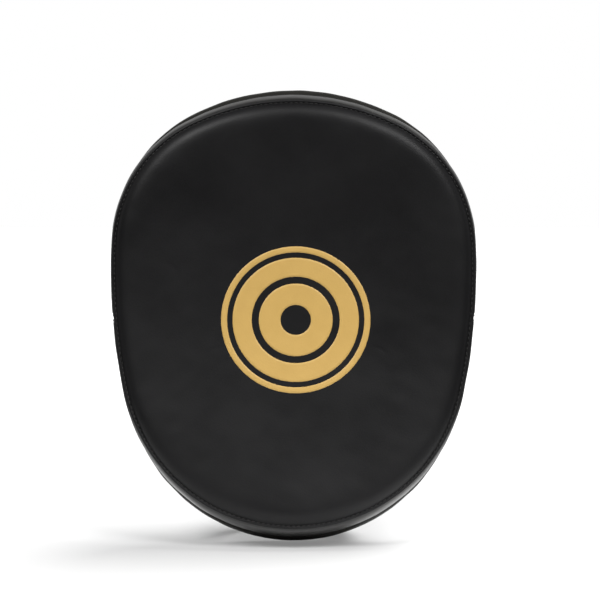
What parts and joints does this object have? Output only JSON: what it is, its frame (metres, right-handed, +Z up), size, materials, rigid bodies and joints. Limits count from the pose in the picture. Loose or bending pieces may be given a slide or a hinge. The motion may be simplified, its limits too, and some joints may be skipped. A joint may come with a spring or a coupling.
{
  "type": "focus mitt",
  "caption": "Curved boxing focus mitt: bent, crowned striking pad with a hooded hand compartment, thumb sleeve, padded wrist cuff and hook-and-loop strap.",
  "frame": {"origin": "on the floor, under the middle of the whole mitt's box", "axes": "+Z up along the pad, +X to the right of someone facing the striking side, -Y out of the striking face towards them"},
  "size_m": [0.2066, 0.1094, 0.254],
  "materials": {
    "vinyl": "matte, fine grain",
    "gold_print": "satin screen print",
    "thread": "matte",
    "foam": "matte closed-cell foam",
    "lining": "matte knit",
    "binding": "matte tape",
    "webbing": "matte woven",
    "hook_loop": "matte pile",
    "rubber": "matte moulded",
    "eyelet": "brushed"
  },
  "bodies": {
    "mitt": {"front_cover": "vinyl", "print_ring_outer": "gold_print", "print_ring_middle": "gold_print", "print_ring_inner": "gold_print", "front_piping": "vinyl", "front_topstitch": "thread", "gusset_upper": "vinyl", "gusset_lower": "vinyl", "gusset_join_left": "thread", "gusset_join_right": "thread", "mid_piping": "vinyl", "base_band": "vinyl", "rear_piping": "vinyl", "impact_foam": "foam", "shock_foam": "foam", "base_foam": "foam", "rear_cover": "vinyl", "finger_hood": "vinyl", "hood_padding": "foam", "hood_lining": "lining", "hood_binding": "binding", "hood_topstitch": "thread", "vent_eyelet_1": "eyelet", "vent_eyelet_2": "eyelet", "vent_eyelet_3": "eyelet", "vent_eyelet_4": "eyelet", "thumb_stall": "vinyl", "thumb_lining": "lining", "thumb_binding": "binding", "palm_ball": "foam", "palm_ball_cover": "vinyl", "wrist_cushion": "vinyl", "cuff_wing_left": "vinyl", "cuff_wing_right": "vinyl", "cuff_binding_left": "binding", "cuff_binding_right": "binding", "loop_patch": "hook_loop", "strap_anchor": "webbing", "anchor_stitching": "thread"},
    "strap": {"wrist_strap": "webbing", "strap_badge": "rubber"},
    "tail": {"strap_tail": "webbing", "hook_patch": "hook_loop"}
  },
  "joints": [
    {"name": "strap_swing", "type": "hinge", "parent": "mitt", "child": "strap", "pos_m": [-0.02761, 0.03403, 0.03949], "axis": [0, 0.2678, 0.9635], "range_deg": [0, 140]},
    {"name": "tail_peel", "type": "hinge", "parent": "strap", "child": "tail", "pos_m": [0.03013, 0.03187, 0.04009], "axis": [0, 0.2678, 0.9635], "range_deg": [0, 110]}
  ]
}
